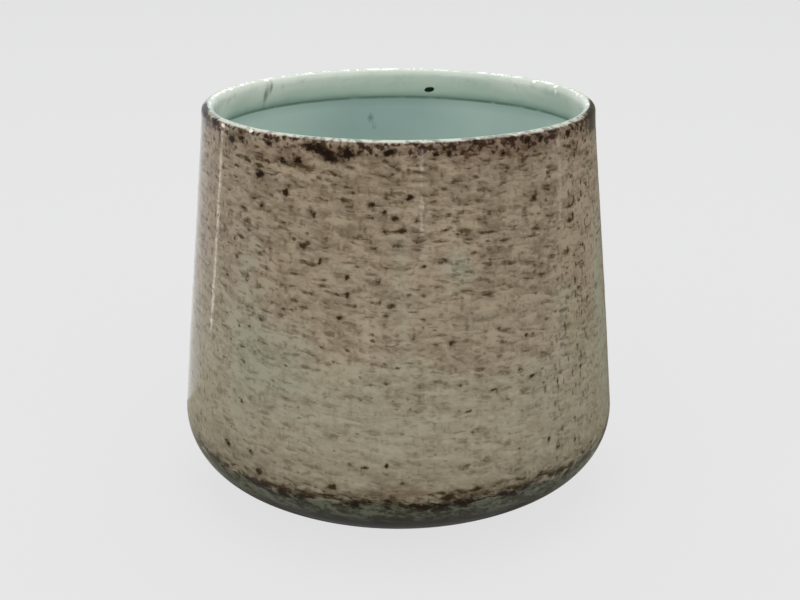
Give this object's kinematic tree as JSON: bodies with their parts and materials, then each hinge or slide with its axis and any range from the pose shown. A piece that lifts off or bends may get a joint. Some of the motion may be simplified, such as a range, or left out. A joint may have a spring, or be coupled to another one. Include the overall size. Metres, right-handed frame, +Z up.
{
  "type": "cachepot",
  "caption": "Glazed ceramic cover pot with a low round belly, a wall that leans in to a wide collared mouth, and felt pads underneath. It holds a nursery pot and keeps water off the furniture.",
  "frame": {"origin": "on the table, under the middle of the pot", "axes": "+Z up along the pot's axis; the pot is round, so +X and +Y differ only by where the felt pads lie"},
  "size_m": [0.19, 0.19, 0.17],
  "materials": {
    "glazed_ceramic": "glossy streaked brown glaze outside, pale blue-green glaze inside",
    "felt": "pressed felt"
  },
  "bodies": {
    "root": {"ceramic_pot": "glazed_ceramic", "felt_pad_1": "felt", "felt_pad_2": "felt", "felt_pad_3": "felt", "felt_pad_4": "felt"}
  },
  "joints": []
}
